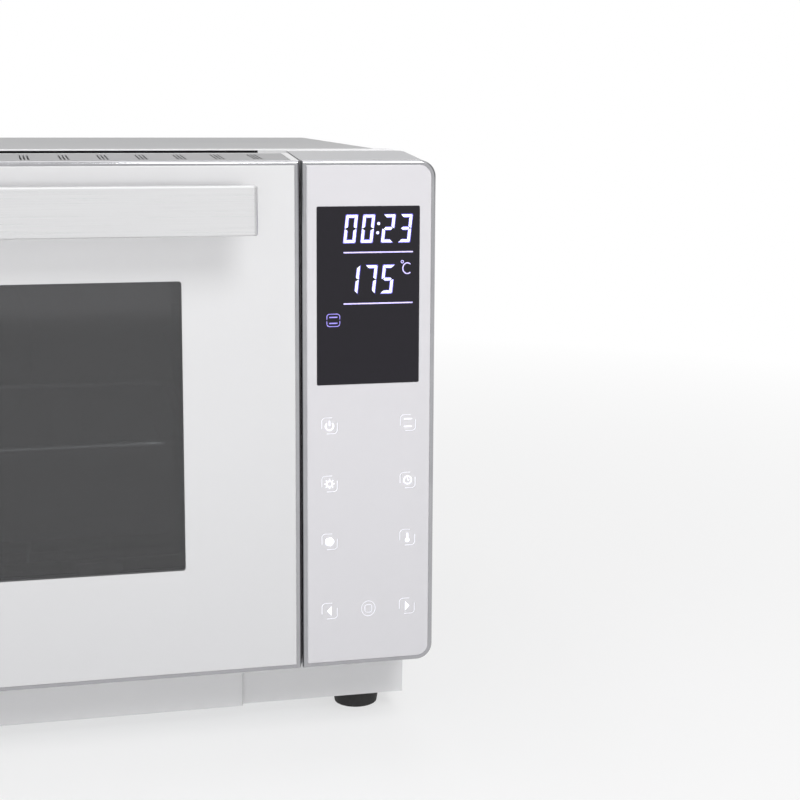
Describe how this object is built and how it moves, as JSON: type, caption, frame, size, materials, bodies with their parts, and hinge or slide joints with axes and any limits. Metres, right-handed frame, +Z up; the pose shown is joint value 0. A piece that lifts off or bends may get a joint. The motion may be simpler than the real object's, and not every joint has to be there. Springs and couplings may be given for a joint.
{
  "type": "mini oven",
  "caption": "Countertop mini oven with a drop-down glass door on the left, a narrow touch control panel on the right and a crumb tray below.",
  "frame": {"origin": "middle of the footprint, on the worktop under the feet", "axes": "+X to the right along the front, +Y to the back, +Z up; the door and panel face -Y"},
  "size_m": [0.48, 0.35, 0.301],
  "materials": {
    "aluminium": "cast aluminium",
    "black_enamel": "black enamel",
    "black_plastic": "black moulding",
    "black_rubber": "black rubber",
    "board_green": "circuit board",
    "bright_steel": "brushed stainless steel",
    "chromed_wire": "chromed wire",
    "clear_glass": "clear glass",
    "display_plastic": "dark display",
    "front_glass": "pearl backed glass",
    "grey_enamel": "dark grey enamel",
    "heater_sheath": "heated sheath",
    "iron_core": "laminated core",
    "pearl_paint": "satin light grey paint",
    "pearl_plastic": "light grey moulding",
    "rim_metal": "bright rim",
    "white_ceramic": "ceramic",
    "zinc_steel": "zinc plated sheet"
  },
  "bodies": {
    "cabinet": {"cabinet_shell": "pearl_paint", "cabinet_trim": "pearl_paint", "plinth": "pearl_paint", "front_frame": "black_enamel", "base_pan": "zinc_steel", "rear_cover": "zinc_steel", "cord_gland": "black_plastic", "rear_screws": "bright_steel", "foot_front_left": "black_rubber", "foot_front_right": "black_rubber", "foot_rear_left": "black_rubber", "foot_rear_right": "black_rubber", "foot_screws": "bright_steel", "cavity_liner": "grey_enamel", "upper_heater": "heater_sheath", "lower_heater": "heater_sheath", "heater_clips": "bright_steel", "heater_bushes": "white_ceramic", "lamp_lens": "clear_glass", "lamp_socket": "white_ceramic", "lamp_bulb": "clear_glass", "temperature_probe": "bright_steel", "wire_rack": "chromed_wire", "baking_tray": "black_enamel", "fan_cover": "grey_enamel", "fan_motor": "iron_core", "motor_bracket": "zinc_steel", "heat_shield": "zinc_steel", "board_standoffs": "black_plastic", "power_board": "board_green", "transformer": "iron_core", "relays": "black_plastic", "capacitors": "aluminium", "tray_guides": "zinc_steel", "door_seal": "black_rubber", "control_housing": "pearl_plastic", "control_rim": "rim_metal", "control_glass": "front_glass", "display_module": "display_plastic", "touch_board": "board_green", "touch_springs": "bright_steel", "hinge_arm_left": "bright_steel", "hinge_arm_right": "bright_steel"},
    "door": {"door_frame": "pearl_paint", "vent_rail": "bright_steel", "door_rim": "rim_metal", "door_glass": "front_glass", "inner_glass": "clear_glass", "inner_glass_clips": "bright_steel", "handle_bar": "bright_steel", "handle_posts": "bright_steel", "handle_screws": "bright_steel", "hinge_clevises": "zinc_steel", "hinge_pins": "bright_steel"},
    "crumb_tray": {"crumb_tray_front": "pearl_paint", "crumb_tray_pan": "bright_steel"},
    "fan": {"fan_impeller": "aluminium", "fan_shaft": "bright_steel", "fan_nut": "bright_steel"}
  },
  "joints": [
    {"name": "door_hinge", "type": "hinge", "parent": "cabinet", "child": "door", "pos_m": [0, -0.1325, 0.054], "axis": [1, 0, 0], "range_deg": [0, 90]},
    {"name": "crumb_tray_slide", "type": "slide", "parent": "cabinet", "child": "crumb_tray", "axis": [0, -1, 0], "range_m": [0, 0.2]},
    {"name": "fan_spin", "type": "hinge", "parent": "cabinet", "child": "fan", "pos_m": [-0.03325, 0.12, 0.171], "axis": [0, 1, 0], "continuous": true}
  ]
}
